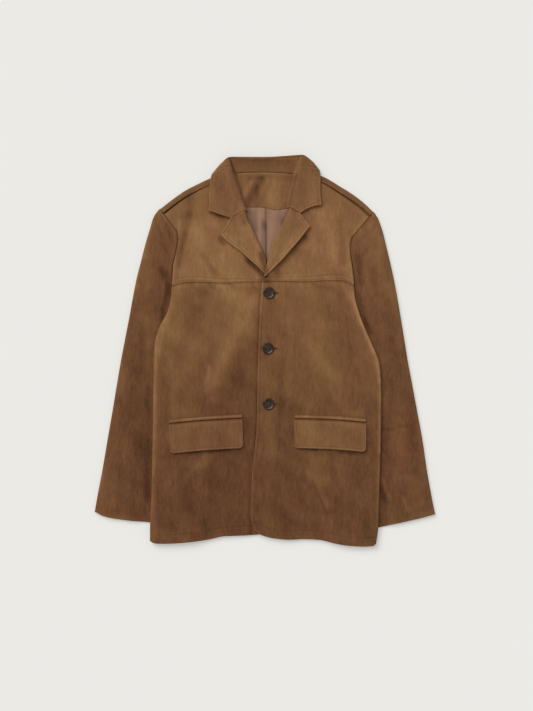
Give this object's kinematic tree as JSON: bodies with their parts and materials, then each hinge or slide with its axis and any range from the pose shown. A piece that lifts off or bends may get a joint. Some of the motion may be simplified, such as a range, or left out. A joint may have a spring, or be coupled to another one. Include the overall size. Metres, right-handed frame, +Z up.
{
  "type": "suede jacket",
  "caption": "Suede car coat with a notched lapel collar, chest yoke seam and flap pockets, buttoned and laid flat with its sleeves partly under the body.",
  "frame": {"origin": "centre of the outline, on the surface that the jacket lies on", "axes": "+X to the wearer's left, +Y from hem to collar, +Z up out of the front"},
  "size_m": [0.68, 0.7826, 0.0188],
  "materials": {
    "suede": "brushed suede with a soft nap, matte",
    "lining": "satin lining",
    "button": "dark horn, polished"
  },
  "bodies": {
    "root": {"back_panel": "suede", "back_neck_facing": "suede", "back_lining": "lining", "right_front_panel": "suede", "right_front_yoke": "suede", "right_lapel": "suede", "right_top_sleeve": "suede", "right_under_sleeve": "suede", "right_pocket_flap": "suede", "right_pocket_welt": "suede", "left_front_panel": "suede", "left_front_yoke": "suede", "left_lapel": "suede", "left_top_sleeve": "suede", "left_under_sleeve": "suede", "left_pocket_flap": "suede", "left_pocket_welt": "suede", "collar_fall": "suede", "collar_stand": "suede", "top_button": "button", "middle_button": "button", "bottom_button": "button"}
  },
  "joints": []
}
